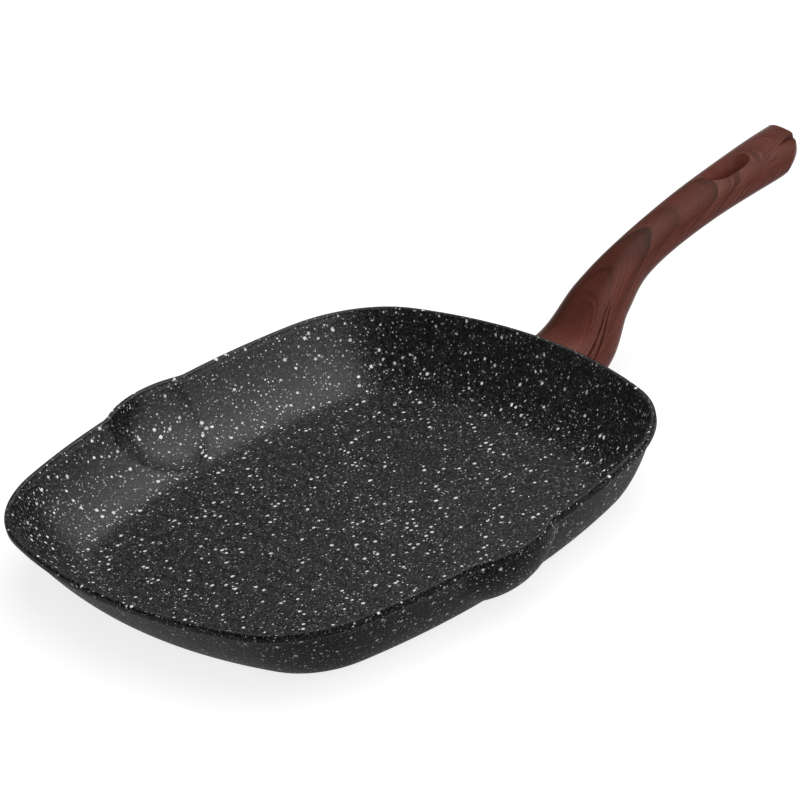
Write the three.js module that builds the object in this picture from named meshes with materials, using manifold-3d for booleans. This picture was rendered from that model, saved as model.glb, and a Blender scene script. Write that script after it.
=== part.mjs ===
// A square cast-aluminium grill pan with two pouring spouts and a wood-effect handle, in millimetres.
// The origin is the middle of the base's underside, +X runs out along the handle and +Z is up.
import * as THREE from "three";
import { mergeVertices } from "three/addons/utils/BufferGeometryUtils.js";
import Module from "manifold-3d";

// Outline of the pan at the outer edge of its rim: a square with bowed sides and round corners
const PAN_HALF_SIDE = 140;
const SIDE_BOW_RADIUS = 315;
const CORNER_RADIUS = 64;

// Section of the pan: the outer and inner faces are curves that leave the rim at a lean and run out level
const PAN_HEIGHT = 37.5;
const RIM_THICKNESS = 3;
const RIM_EDGE_BREAK = 0.7;
const RIM_LEAN_DEG = 25;
const OUTER_RIM_PULL = 14.3;
const OUTER_BASE_PULL = 14;
const BASE_INSET = 32;
const FLOOR_THICKNESS = 5;
const INNER_RIM_PULL = 14.3;
const INNER_FLOOR_PULL = 19;
const FLOOR_INSET = 39;

// Pouring spouts: a bowl-shaped scoop in each side wall, run out through the rim, a little nearer the front
const SPOUT_RADIUS = 38.7;
const SPOUT_FROM_CENTRE = 105;
const SPOUT_FORWARD = 3;
const SPOUT_FLOOR_CLEARANCE = 0.4;
const SPOUT_WALL = 3.2;

// Ribs across the floor, parallel to the spouts' axis, ending on a bowed line
const RIB_PITCH = 9.7;
const RIB_COUNT = 21;
const RIB_HEIGHT = 0.8;
const RIB_TOP_WIDTH = 1.8;
const RIB_FOOT_WIDTH = 4;
const RIB_HALF_LENGTH = 87;
const RIB_ROOT = 0.8;

// Clearance between two pieces that touch
const FIT_GAP = 0.3;

// Magnetic disc let into the underside, held by studs of the pan's own metal that fill its holes
const DISC_RADIUS = 90;
const DISC_THICKNESS = 1;
const STUD_RADIUS = 3;
const STUD_RINGS = [
  { radius: 32, count: 8 },
  { radius: 64, count: 16 },
];

// Lug cast on the back wall, which fills the handle's socket
const LUG_REACH = 20;
const LUG_DROP = 16;
const LUG_WIDTH = 24;
const LUG_DEPTH = 10;
const LUG_EDGE_RADIUS = 2.5;

// Stations along the handle: distance out from the rim's edge, height above the rim's plane, width and depth
const HANDLE_ROOT = { reach: -34, rise: -19.5, width: 46.8, depth: 23.8 };
const HANDLE_HEEL = { reach: 14, rise: -17.4, width: 46.8, depth: 23.8 };
const HANDLE_NECK = { reach: 40, rise: 0.8, width: 33.7, depth: 22 };
const HANDLE_WAIST = { reach: 66, rise: 12.8, width: 24.8, depth: 18.5 };
const HANDLE_PALM = { reach: 112, rise: 20.6, width: 28, depth: 17.2 };
const HANDLE_TAIL = { reach: 176.5, rise: 24, width: 37, depth: 17.6 };

// Form of the handle's section, and of its tail: thinned from below and a little from above, and cut off askew
// with one corner of the end well rounded
const SECTION_POWER = 2.45;
const TAIL_SWEEP = 25;
const TAIL_LIFT = 8.5;
const TAIL_DROP = 1.2;
const TAIL_SKEW_DEG = 9;
const TAIL_CORNER_RADIUS = 20;
const TAIL_OVERRUN = 6;

// Hanging slot through the tail, waisted at half depth and flared to both faces
const SLOT_AT = 133.5;
const SLOT_LENGTH = 17.5;
const SLOT_WIDTH = 8;
const SLOT_FLARE = 4.5;

// Carved step on the tail's top: a split whose outer side has dropped, deepest at the end face
const STEP_LENGTH = 24;
const STEP_START_ASIDE = 11;
const STEP_END_ASIDE = 5.3;
const STEP_WIDTH = 9.5;
const STEP_DEPTH = 4.2;
const STEP_RISE = 0.75;

// Screw that holds the handle on the lug, with its two washers, from below
const SCREW_AT = 8;
const SCREW_RADIUS = 2.5;
const SCREW_GRIP = 7.5;
const HEAD_RADIUS = 4.5;
const HEAD_HEIGHT = 2.8;
const DRIVE_ARM = 2.4;
const DRIVE_WIDTH = 1.1;
const DRIVE_DEPTH = 1.5;
const FLAT_WASHER_RADIUS = 5;
const FLAT_WASHER_THICKNESS = 0.8;
const SPRING_WASHER_RADIUS = 4.5;
const SPRING_WASHER_THICKNESS = 1.2;
const SPRING_WASHER_SPLIT = 1.1;
const SEAT_WALL = 3;

// How finely the round forms are faceted
const SIDE_STEPS = 8;
const CORNER_STEPS = 8;
const SECTION_STEPS = 12;
const SPOUT_TURN_STEPS = 48;
const SPOUT_BOWL_STEPS = 12;
const HANDLE_STEPS = 46;
const HANDLE_TURN_STEPS = 36;
const STUD_STEPS = 10;
const TAIL_CORNER_STEPS = 16;
const SLOT_END_STEPS = 8;
const SLOT_FLARE_STEPS = 8;
const EDGE_STEPS = 2;
const ROUND_STEPS = 32;

// How far a cutter runs past the face that it cuts
const OVERCUT = 2;

const wasm = await Module();
wasm.setup();

// A closed geometry as a solid that can be joined and cut.
function solidOf(geometry) {
  const bare = new THREE.BufferGeometry();
  bare.setAttribute("position", geometry.getAttribute("position"));
  if (geometry.index) bare.setIndex(geometry.index);
  const merged = mergeVertices(bare, 1e-4);
  return new wasm.Manifold(
    new wasm.Mesh({
      numProp: 3,
      vertProperties: new Float32Array(merged.getAttribute("position").array),
      triVerts: new Uint32Array(merged.index.array),
    }),
  );
}

// A finished solid as a named mesh in its own material.
function meshOf(name, solid, material) {
  const made = solid.getMesh();
  const geometry = new THREE.BufferGeometry();
  geometry.setAttribute("position", new THREE.BufferAttribute(made.vertProperties, 3));
  geometry.setIndex(new THREE.BufferAttribute(made.triVerts, 1));
  geometry.computeVertexNormals();
  const mesh = new THREE.Mesh(geometry, material);
  mesh.name = name;
  return mesh;
}

// A skin over a row of rings with equal point counts, closed by a fan at each end.
function loft(rings) {
  const points = [];
  const faces = [];
  const turn = rings[0].length;
  rings.forEach((ring) => ring.forEach((p) => points.push(p.x, p.y, p.z)));
  for (let i = 0; i + 1 < rings.length; i++) {
    for (let k = 0; k < turn; k++) {
      const a = i * turn + k;
      const b = i * turn + ((k + 1) % turn);
      faces.push(a, b, b + turn, a, b + turn, a + turn);
    }
  }
  const closeEnd = (ring, first, outward) => {
    const middle = new THREE.Vector3();
    ring.forEach((p) => middle.addScaledVector(p, 1 / turn));
    const hub = points.length / 3;
    points.push(middle.x, middle.y, middle.z);
    for (let k = 0; k < turn; k++) {
      const a = first + k;
      const b = first + ((k + 1) % turn);
      if (outward) faces.push(hub, a, b);
      else faces.push(hub, b, a);
    }
  };
  closeEnd(rings[0], 0, false);
  closeEnd(rings[rings.length - 1], (rings.length - 1) * turn, true);
  const geometry = new THREE.BufferGeometry();
  geometry.setAttribute("position", new THREE.Float32BufferAttribute(points, 3));
  geometry.setIndex(faces);
  return geometry;
}

// Points round the rim's outer edge with their outward normals, anticlockwise from the middle of the +X side.
function rimOutline() {
  const sideCentre = PAN_HALF_SIDE - SIDE_BOW_RADIUS;
  const reach = SIDE_BOW_RADIUS - CORNER_RADIUS;
  const cornerCentre = (sideCentre + Math.sqrt(2 * reach * reach - sideCentre * sideCentre)) / 2;
  const halfTurn = Math.atan2(cornerCentre, cornerCentre - sideCentre);
  const cornerTurn = Math.PI / 2 - 2 * halfTurn;
  const points = [];
  const add = (cx, cy, radius, angle, quarter) => {
    const turn = (quarter * Math.PI) / 2;
    const normal = new THREE.Vector2(Math.cos(angle), Math.sin(angle));
    const at = new THREE.Vector2(cx, cy).addScaledVector(normal, radius);
    const pivot = new THREE.Vector2(0, 0);
    points.push({ at: at.rotateAround(pivot, turn), normal: normal.rotateAround(pivot, turn) });
  };
  for (let quarter = 0; quarter < 4; quarter++) {
    for (let i = 0; i < SIDE_STEPS; i++) {
      const angle = -halfTurn + (2 * halfTurn * i) / SIDE_STEPS;
      add(sideCentre, 0, SIDE_BOW_RADIUS, angle, quarter);
    }
    for (let i = 0; i < CORNER_STEPS; i++) {
      const angle = halfTurn + (cornerTurn * i) / CORNER_STEPS;
      add(cornerCentre, cornerCentre, CORNER_RADIUS, angle, quarter);
    }
  }
  return points;
}

const RIM_OUTLINE = rimOutline();

// The rim's outline drawn in by an inset at one height.
function panRing(inset, height) {
  return RIM_OUTLINE.map(
    ({ at, normal }) => new THREE.Vector3(at.x - inset * normal.x, at.y - inset * normal.y, height),
  );
}

// A wall face from its foot to the rim: x is the inset from the rim's outer edge and y the height.
function wallSection(rimInset, rimPull, footInset, footPull, footHeight) {
  const lean = THREE.MathUtils.degToRad(RIM_LEAN_DEG);
  return new THREE.CubicBezierCurve(
    new THREE.Vector2(footInset, footHeight),
    new THREE.Vector2(footInset - footPull, footHeight),
    new THREE.Vector2(rimInset + rimPull * Math.sin(lean), PAN_HEIGHT - rimPull * Math.cos(lean)),
    new THREE.Vector2(rimInset, PAN_HEIGHT),
  ).getPoints(SECTION_STEPS);
}

// The pan's outside as a filled block, grown all round by a clearance, with the rim's outer edge broken.
function panBlock(grown) {
  const section = wallSection(0, OUTER_RIM_PULL, BASE_INSET, OUTER_BASE_PULL, 0);
  const rings = section.slice(0, -1).map((p) => panRing(p.x - grown, p.y));
  rings.push(panRing(-grown, PAN_HEIGHT - RIM_EDGE_BREAK));
  rings.push(panRing(RIM_EDGE_BREAK - grown, PAN_HEIGHT));
  return solidOf(loft(rings));
}

// The hollow of the pan, run out through the top, with the rim's inner edge broken.
function panHollow() {
  const section = wallSection(
    RIM_THICKNESS,
    INNER_RIM_PULL,
    FLOOR_INSET,
    INNER_FLOOR_PULL,
    FLOOR_THICKNESS,
  );
  const rings = section.slice(0, -1).map((p) => panRing(p.x, p.y));
  rings.push(panRing(RIM_THICKNESS, PAN_HEIGHT - RIM_EDGE_BREAK));
  rings.push(panRing(RIM_THICKNESS - RIM_EDGE_BREAK, PAN_HEIGHT));
  rings.push(panRing(RIM_THICKNESS - RIM_EDGE_BREAK, PAN_HEIGHT + OVERCUT));
  return solidOf(loft(rings));
}

// A half bowl turned about an upright axis on the spout's side, open or filled up to a height above the rim.
function spoutBowl(grown, top, side) {
  const radius = SPOUT_RADIUS + grown;
  const depth = PAN_HEIGHT - FLOOR_THICKNESS - SPOUT_FLOOR_CLEARANCE + grown;
  const profile = [];
  for (let i = 0; i <= SPOUT_BOWL_STEPS; i++) {
    const angle = (Math.PI / 2) * (i / SPOUT_BOWL_STEPS);
    profile.push(new THREE.Vector2(radius * Math.sin(angle), -depth * Math.cos(angle)));
  }
  profile[0].x = 0;
  if (top > 0) profile.push(new THREE.Vector2(radius, top));
  profile.push(new THREE.Vector2(0, top));
  const bowl = new THREE.LatheGeometry(profile, SPOUT_TURN_STEPS);
  bowl.rotateX(Math.PI / 2);
  bowl.translate(-SPOUT_FORWARD, side * SPOUT_FROM_CENTRE, PAN_HEIGHT);
  return solidOf(bowl);
}

// One floor rib: a bar with round ends whose sides slope up to a narrow top, rooted in the floor.
function rib(x) {
  const radius = RIB_TOP_WIDTH / 2;
  const bowed = SIDE_BOW_RADIUS - Math.sqrt(SIDE_BOW_RADIUS * SIDE_BOW_RADIUS - x * x);
  const straight = RIB_HALF_LENGTH - bowed - radius;
  const plan = new THREE.Shape();
  plan.absarc(0, straight, radius, 0, Math.PI, false);
  plan.absarc(0, -straight, radius, Math.PI, 2 * Math.PI, false);
  const bar = new THREE.ExtrudeGeometry(plan, {
    depth: RIB_ROOT,
    curveSegments: EDGE_STEPS,
    bevelThickness: RIB_HEIGHT,
    bevelSize: (RIB_FOOT_WIDTH - RIB_TOP_WIDTH) / 2,
    bevelSegments: 1,
  });
  bar.translate(x, 0, FLOOR_THICKNESS - RIB_ROOT);
  return solidOf(bar);
}

// A bar along X with a round-cornered section, grown all round by a clearance.
function lugBar(fromX, toX, grown) {
  const halfWidth = LUG_WIDTH / 2 + grown;
  const halfDepth = LUG_DEPTH / 2 + grown;
  const radius = LUG_EDGE_RADIUS + grown;
  const section = new THREE.Shape();
  section.absarc(halfWidth - radius, halfDepth - radius, radius, 0, Math.PI / 2, false);
  section.absarc(radius - halfWidth, halfDepth - radius, radius, Math.PI / 2, Math.PI, false);
  section.absarc(radius - halfWidth, radius - halfDepth, radius, Math.PI, 1.5 * Math.PI, false);
  section.absarc(halfWidth - radius, radius - halfDepth, radius, 1.5 * Math.PI, 2 * Math.PI, false);
  const bar = new THREE.ExtrudeGeometry(section, {
    depth: toX - fromX,
    curveSegments: EDGE_STEPS,
    bevelEnabled: false,
  });
  bar.rotateX(Math.PI / 2);
  bar.rotateZ(Math.PI / 2);
  bar.translate(fromX, 0, PAN_HEIGHT - LUG_DROP);
  return solidOf(bar);
}

// An upright round bar between two heights.
function uprightBar(radius, x, y, bottom, top, steps) {
  const bar = new THREE.CylinderGeometry(radius, radius, top - bottom, steps);
  bar.rotateX(Math.PI / 2);
  bar.translate(x, y, (bottom + top) / 2);
  return solidOf(bar);
}

// Places of the studs that fill the disc's holes.
function studPlaces() {
  const places = [];
  STUD_RINGS.forEach(({ radius, count }) => {
    for (let i = 0; i < count; i++) {
      const angle = (2 * Math.PI * i) / count;
      places.push([radius * Math.cos(angle), radius * Math.sin(angle)]);
    }
  });
  return places;
}

// Heights and places that the lug, the handle and its fixing share
const LUG_END = PAN_HALF_SIDE + LUG_REACH;
const SCREW_X = PAN_HALF_SIDE + SCREW_AT;
const LUG_UNDERSIDE = PAN_HEIGHT - LUG_DROP - LUG_DEPTH / 2;
const WASHER_SEAT = LUG_UNDERSIDE - FIT_GAP - SEAT_WALL;
const FLAT_WASHER_TOP = WASHER_SEAT - FIT_GAP;
const SPRING_WASHER_TOP = FLAT_WASHER_TOP - FLAT_WASHER_THICKNESS - FIT_GAP;
const HEAD_TOP = SPRING_WASHER_TOP - SPRING_WASHER_THICKNESS - FIT_GAP;
const SCREW_TIP = LUG_UNDERSIDE + SCREW_GRIP;

// The casting: walls, floor, spouts, ribs and lug, with the disc's seat and the screw's hole.
function panBody() {
  let body = panBlock(0);
  [1, -1].forEach((side) => {
    body = body.add(spoutBowl(SPOUT_WALL, 0, side));
  });
  body = body.add(lugBar(0, LUG_END, 0));
  body = body.subtract(panHollow());
  [1, -1].forEach((side) => {
    body = body.subtract(spoutBowl(0, OVERCUT, side));
  });
  for (let i = 0; i < RIB_COUNT; i++) {
    body = body.add(rib((i - (RIB_COUNT - 1) / 2) * RIB_PITCH));
  }
  const seatTop = DISC_THICKNESS + FIT_GAP;
  body = body.subtract(uprightBar(DISC_RADIUS + FIT_GAP, 0, 0, -OVERCUT, seatTop, 2 * ROUND_STEPS));
  studPlaces().forEach(([x, y]) => {
    body = body.add(uprightBar(STUD_RADIUS, x, y, 0, seatTop + FIT_GAP, STUD_STEPS));
  });
  const holeTop = SCREW_TIP + FIT_GAP;
  const holeRadius = SCREW_RADIUS + FIT_GAP;
  return body.subtract(
    uprightBar(holeRadius, SCREW_X, 0, LUG_UNDERSIDE - OVERCUT, holeTop, ROUND_STEPS),
  );
}

// The disc, with the holes that the studs fill.
function inductionDisc() {
  let disc = uprightBar(DISC_RADIUS, 0, 0, 0, DISC_THICKNESS, 2 * ROUND_STEPS);
  studPlaces().forEach(([x, y]) => {
    const hole = uprightBar(STUD_RADIUS + FIT_GAP, x, y, -OVERCUT, DISC_THICKNESS + OVERCUT, STUD_STEPS);
    disc = disc.subtract(hole);
  });
  return disc;
}

const HANDLE_STATIONS = [
  HANDLE_ROOT,
  HANDLE_HEEL,
  HANDLE_NECK,
  HANDLE_WAIST,
  HANDLE_PALM,
  HANDLE_TAIL,
];
const HANDLE_LINE = new THREE.SplineCurve(
  HANDLE_STATIONS.map(({ reach, rise }) => new THREE.Vector2(reach, rise)),
);
const HANDLE_SIZES = new THREE.SplineCurve(
  HANDLE_STATIONS.map(({ width, depth }) => new THREE.Vector2(width, depth)),
);

// One section of the handle, square to its line: rounder than a box and fuller than an ellipse.
function handleRing(share) {
  const at = HANDLE_LINE.getPoint(share);
  const along = HANDLE_LINE.getTangent(share);
  const size = HANDLE_SIZES.getPoint(share);
  const fromEnd = HANDLE_TAIL.reach - at.x;
  const swept = Math.pow(Math.max(0, 1 - fromEnd / TAIL_SWEEP), 2);
  const rounded = (v) => Math.sign(v) * Math.pow(Math.abs(v), 2 / SECTION_POWER);
  const ring = [];
  for (let k = 0; k < HANDLE_TURN_STEPS; k++) {
    const angle = (2 * Math.PI * k) / HANDLE_TURN_STEPS;
    const across = (size.x / 2) * rounded(Math.cos(angle));
    const taken = swept * (Math.sin(angle) > 0 ? TAIL_DROP : TAIL_LIFT);
    const up = (size.y / 2 - taken) * rounded(Math.sin(angle));
    ring.push(
      new THREE.Vector3(
        PAN_HALF_SIDE + at.x - up * along.y,
        across,
        PAN_HEIGHT + at.y + up * along.x,
      ),
    );
  }
  return ring;
}

// The hanging slot: an outline with round ends that widens from the handle's middle to its top and underside.
function hangingSlot() {
  const { reach: fromReach, rise: fromRise } = HANDLE_PALM;
  const { reach: toReach, rise: toRise, depth } = HANDLE_TAIL;
  const middle = PAN_HEIGHT + THREE.MathUtils.mapLinear(SLOT_AT, fromReach, toReach, fromRise, toRise);
  const half = SLOT_LENGTH / 2 - SLOT_WIDTH / 2;
  const reachUp = depth / 2 + OVERCUT;
  const rings = [];
  for (let i = 0; i <= SLOT_FLARE_STEPS; i++) {
    const up = reachUp * ((2 * i) / SLOT_FLARE_STEPS - 1);
    const radius = SLOT_WIDTH / 2 + SLOT_FLARE * Math.pow((2 * up) / depth, 2);
    const plan = new THREE.Path();
    plan.absarc(half, 0, radius, -Math.PI / 2, Math.PI / 2, false);
    plan.absarc(-half, 0, radius, Math.PI / 2, 1.5 * Math.PI, false);
    const outline = plan.getPoints(SLOT_END_STEPS);
    rings.push(outline.map((p) => new THREE.Vector3(PAN_HALF_SIDE + SLOT_AT + p.x, p.y, middle + up)));
  }
  return solidOf(loft(rings));
}

// All that lies past the tail's end: beyond a line a little askew, and outside the round of one corner.
function pastTail() {
  const skew = THREE.MathUtils.degToRad(TAIL_SKEW_DEG);
  const end = PAN_HALF_SIDE + HANDLE_TAIL.reach;
  const { width: side } = HANDLE_TAIL;
  const cornerY = TAIL_CORNER_RADIUS - side / 2;
  const cornerX = end + cornerY * Math.tan(skew) - TAIL_CORNER_RADIUS / Math.cos(skew);
  const past = end + side;
  const plan = new THREE.Shape();
  plan.absarc(cornerX, cornerY, TAIL_CORNER_RADIUS, -skew, -Math.PI / 2, true);
  plan.lineTo(cornerX, -side);
  plan.lineTo(past, -side);
  plan.lineTo(past, side);
  plan.lineTo(end + side * Math.tan(skew), side);
  const depth = 2 * HANDLE_TAIL.depth;
  const block = new THREE.ExtrudeGeometry(plan, {
    depth,
    curveSegments: TAIL_CORNER_STEPS,
    bevelEnabled: false,
  });
  block.translate(0, 0, PAN_HEIGHT + HANDLE_TAIL.rise - depth / 2);
  return solidOf(block);
}

// The tail's step: cut square down on its inner side, with a floor that rises to run out on the outer side.
function tailStep() {
  const topFace = PAN_HEIGHT + HANDLE_TAIL.rise + HANDLE_TAIL.depth / 2;
  const end = PAN_HALF_SIDE + HANDLE_TAIL.reach;
  const cut = (share) => {
    const x = end + (share - 1) * STEP_LENGTH;
    const inner = -THREE.MathUtils.lerp(STEP_START_ASIDE, STEP_END_ASIDE, share);
    const outer = inner - STEP_WIDTH;
    return [
      new THREE.Vector3(x, inner, topFace + OVERCUT),
      new THREE.Vector3(x, outer, topFace + OVERCUT),
      new THREE.Vector3(x, outer, topFace - (STEP_DEPTH - STEP_RISE) * share),
      new THREE.Vector3(x, inner, topFace - STEP_DEPTH * share),
    ];
  };
  return solidOf(loft([cut(0.1), cut(1 + TAIL_OVERRUN / STEP_LENGTH)]));
}

function handle() {
  const rings = [];
  for (let i = 0; i <= HANDLE_STEPS; i++) {
    rings.push(handleRing(Math.sin((Math.PI / 2) * (i / HANDLE_STEPS))));
  }
  const tangent = HANDLE_LINE.getTangent(1);
  const onward = new THREE.Vector3(tangent.x, 0, tangent.y).multiplyScalar(TAIL_OVERRUN);
  rings.push(rings[HANDLE_STEPS].map((p) => p.clone().add(onward)));
  let body = solidOf(loft(rings)).subtract(pastTail());
  body = body.subtract(panBlock(FIT_GAP));
  body = body.subtract(lugBar(0, LUG_END + FIT_GAP, FIT_GAP));
  body = body.subtract(hangingSlot());
  body = body.subtract(tailStep());
  body = body.subtract(
    uprightBar(SCREW_RADIUS + FIT_GAP, SCREW_X, 0, WASHER_SEAT - OVERCUT, LUG_UNDERSIDE, ROUND_STEPS),
  );
  const recess = FLAT_WASHER_RADIUS + FIT_GAP;
  return body.subtract(uprightBar(recess, SCREW_X, 0, -OVERCUT, WASHER_SEAT, ROUND_STEPS));
}

// The screw: a domed head below, with a cross recess, and a plain shank up into the lug.
function handleScrew() {
  const profile = [
    new THREE.Vector2(0, HEAD_TOP - HEAD_HEIGHT),
    new THREE.Vector2(0.55 * HEAD_RADIUS, HEAD_TOP - 0.93 * HEAD_HEIGHT),
    new THREE.Vector2(0.86 * HEAD_RADIUS, HEAD_TOP - 0.65 * HEAD_HEIGHT),
    new THREE.Vector2(HEAD_RADIUS, HEAD_TOP - 0.3 * HEAD_HEIGHT),
    new THREE.Vector2(HEAD_RADIUS, HEAD_TOP),
    new THREE.Vector2(SCREW_RADIUS, HEAD_TOP),
    new THREE.Vector2(SCREW_RADIUS, SCREW_TIP - SCREW_RADIUS / 3),
    new THREE.Vector2(0.67 * SCREW_RADIUS, SCREW_TIP),
    new THREE.Vector2(0, SCREW_TIP),
  ];
  const turned = new THREE.LatheGeometry(profile, ROUND_STEPS);
  turned.rotateX(Math.PI / 2);
  turned.translate(SCREW_X, 0, 0);
  let screw = solidOf(turned);
  const headFace = HEAD_TOP - HEAD_HEIGHT;
  [0, Math.PI / 2].forEach((angle) => {
    const arm = new THREE.BoxGeometry(2 * DRIVE_ARM, DRIVE_WIDTH, 2 * DRIVE_DEPTH);
    arm.rotateZ(angle);
    arm.translate(SCREW_X, 0, headFace);
    screw = screw.subtract(solidOf(arm));
  });
  return screw;
}

// A washer with its top face at a height; a split of a given width opens it to one side.
function washer(radius, thickness, top, split) {
  const bore = SCREW_RADIUS + FIT_GAP;
  let ring = uprightBar(radius, SCREW_X, 0, top - thickness, top, ROUND_STEPS);
  ring = ring.subtract(uprightBar(bore, SCREW_X, 0, top - thickness - OVERCUT, top + OVERCUT, ROUND_STEPS));
  if (split === 0) return ring;
  const gap = new THREE.BoxGeometry(2 * radius, split, thickness + 2 * OVERCUT);
  gap.translate(SCREW_X + radius, 0, top - thickness / 2);
  return ring.subtract(solidOf(gap));
}

const coating = new THREE.MeshStandardMaterial({ color: 0x2b2b2b, roughness: 0.6, metalness: 0.1 });
const woodEffect = new THREE.MeshStandardMaterial({ color: 0x5a2c24, roughness: 0.45, metalness: 0 });
const discSteel = new THREE.MeshStandardMaterial({ color: 0xb4b4b2, roughness: 0.35, metalness: 1 });
const screwSteel = new THREE.MeshStandardMaterial({ color: 0xa9a9ab, roughness: 0.3, metalness: 1 });
const washerSteel = new THREE.MeshStandardMaterial({ color: 0x9c9c9e, roughness: 0.4, metalness: 1 });
const springSteel = new THREE.MeshStandardMaterial({ color: 0x77777a, roughness: 0.45, metalness: 1 });

const grillPan = new THREE.Group();
grillPan.add(meshOf("pan_body", panBody(), coating));
grillPan.add(meshOf("induction_disc", inductionDisc(), discSteel));
grillPan.add(meshOf("handle", handle(), woodEffect));
grillPan.add(meshOf("handle_screw", handleScrew(), screwSteel));
grillPan.add(
  meshOf(
    "flat_washer",
    washer(FLAT_WASHER_RADIUS, FLAT_WASHER_THICKNESS, FLAT_WASHER_TOP, 0),
    washerSteel,
  ),
);
grillPan.add(
  meshOf(
    "spring_washer",
    washer(SPRING_WASHER_RADIUS, SPRING_WASHER_THICKNESS, SPRING_WASHER_TOP, SPRING_WASHER_SPLIT),
    springSteel,
  ),
);

export default grillPan;
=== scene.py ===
# A square grill pan with two pouring spouts and a wood-effect handle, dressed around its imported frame.
# Lengths are written in millimetres and turned into metres where a mesh or a place is made.
import math

import bpy
import numpy as np
from mathutils import Matrix, Vector
from mathutils.bvhtree import BVHTree


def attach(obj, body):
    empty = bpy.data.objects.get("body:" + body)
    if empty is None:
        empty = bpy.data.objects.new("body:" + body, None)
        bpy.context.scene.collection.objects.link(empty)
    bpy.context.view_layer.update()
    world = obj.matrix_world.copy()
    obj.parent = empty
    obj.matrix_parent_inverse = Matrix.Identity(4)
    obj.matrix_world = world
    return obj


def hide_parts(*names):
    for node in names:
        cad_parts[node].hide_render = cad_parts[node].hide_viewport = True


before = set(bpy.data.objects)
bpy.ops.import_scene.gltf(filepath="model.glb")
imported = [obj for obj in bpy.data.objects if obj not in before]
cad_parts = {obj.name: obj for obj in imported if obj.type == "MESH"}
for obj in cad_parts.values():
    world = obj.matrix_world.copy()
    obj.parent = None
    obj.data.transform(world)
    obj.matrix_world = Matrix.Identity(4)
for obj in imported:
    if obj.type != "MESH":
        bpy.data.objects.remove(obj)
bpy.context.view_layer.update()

# Studio
# A pale tabletop under the pan, soft light from three panels overhead that is strongest in the middle, and
# the camera, which looks along the pan from its front left corner.
MM = 0.001
FLOOR_DROP = 0.4
FLOOR_HALF = 9000
FLOOR_GLOW = 0.82

scene = bpy.context.scene
scene.view_settings.view_transform = "Standard"


def node(tree, kind, inputs=None, **settings):
    """Adds a shader node; an input is a number, a colour or another node's output."""
    made = tree.nodes.new(kind)
    for name, value in settings.items():
        setattr(made, name, value)
    for name, value in (inputs or {}).items():
        if isinstance(value, bpy.types.NodeSocket):
            tree.links.new(value, made.inputs[name])
        else:
            made.inputs[name].default_value = value
    return made


def calc(tree, operation, first, second):
    """One step of arithmetic between two values."""
    return node(tree, "ShaderNodeMath", {0: first, 1: second}, operation=operation).outputs[0]


def spread(tree, value, low=0.0, high=1.0, start=0.0, end=1.0):
    """A value moved from one range to another and held at its ends."""
    ranges = {"Value": value, "From Min": low, "From Max": high, "To Min": start, "To Max": end}
    return node(tree, "ShaderNodeMapRange", ranges).outputs["Result"]


def new_material(name):
    """An empty node material and its tree."""
    material = bpy.data.materials.new(name)
    material.use_nodes = True
    material.node_tree.nodes.clear()
    return material, material.node_tree


def new_piece(name, points, faces, material):
    """A mesh object from points in millimetres."""
    mesh = bpy.data.meshes.new(name)
    mesh.from_pydata([[float(c) * MM for c in p] for p in points], [], [list(map(int, f)) for f in faces])
    mesh.materials.append(material)
    made = bpy.data.objects.new(name, mesh)
    scene.collection.objects.link(made)
    return made


tabletop, tree = new_material("tabletop")
seen = node(tree, "ShaderNodeLightPath").outputs
shown = calc(tree, "MAXIMUM", seen["Is Camera Ray"], seen["Is Glossy Ray"])
shown = calc(tree, "MAXIMUM", shown, seen["Is Transmission Ray"])
fibres = node(tree, "ShaderNodeTexNoise", {"Scale": 40.0, "Detail": 3.0}).outputs["Fac"]
lit = node(tree, "ShaderNodeBsdfDiffuse", {"Color": spread(tree, fibres, start=0.30, end=0.34)})
white = node(tree, "ShaderNodeEmission", {"Strength": calc(tree, "MULTIPLY", shown, FLOOR_GLOW)})
top = node(tree, "ShaderNodeAddShader", {0: lit.outputs[0], 1: white.outputs[0]})
below = node(tree, "ShaderNodeBsdfTransparent")
side = node(tree, "ShaderNodeNewGeometry").outputs["Backfacing"]
both = node(tree, "ShaderNodeMixShader", {0: side, 1: top.outputs[0], 2: below.outputs[0]})
node(tree, "ShaderNodeOutputMaterial", {"Surface": both.outputs[0]})
corners = ((-1, -1), (1, -1), (1, 1), (-1, 1))
floor_plan = [(FLOOR_HALF * x, FLOOR_HALF * y, -FLOOR_DROP) for x, y in corners]
floor = new_piece("floor", floor_plan, [(0, 1, 2, 3)], tabletop)

# Dim air all round, a little lighter low down behind the pan
BEHIND = (0.57, 0.82, 0)
world = bpy.data.worlds.new("studio")
scene.world = world
world.use_nodes = True
tree = world.node_tree
tree.nodes.clear()
ahead = node(tree, "ShaderNodeTexCoord").outputs["Generated"]
facing = node(tree, "ShaderNodeVectorMath", {0: ahead, 1: BEHIND}, operation="DOT_PRODUCT").outputs["Value"]
dim = spread(tree, facing, 0.72, 0.95, 0.08, 0.17)
air = node(tree, "ShaderNodeBackground", {"Color": (1, 1, 1, 1), "Strength": dim})
node(tree, "ShaderNodeOutputWorld", {"Surface": air.outputs[0]})

PANEL_TURN = math.radians(45)


def overhead_panel(name, height, along, across, power):
    """A level area lamp that lies slantwise over the pan, between two distances along and across it."""
    lamp = bpy.data.lights.new(name, "AREA")
    lamp.shape = "RECTANGLE"
    lamp.size, lamp.size_y = (along[1] - along[0]) * MM, (across[1] - across[0]) * MM
    lamp.energy = power
    made = bpy.data.objects.new(name, lamp)
    middle = Vector((sum(along) / 2, -sum(across) / 2, height))
    made.location = Matrix.Rotation(PANEL_TURN, 3, "Z") @ middle * MM
    made.rotation_euler = (0, 0, PANEL_TURN)
    made.visible_camera = False
    scene.collection.objects.link(made)


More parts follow.
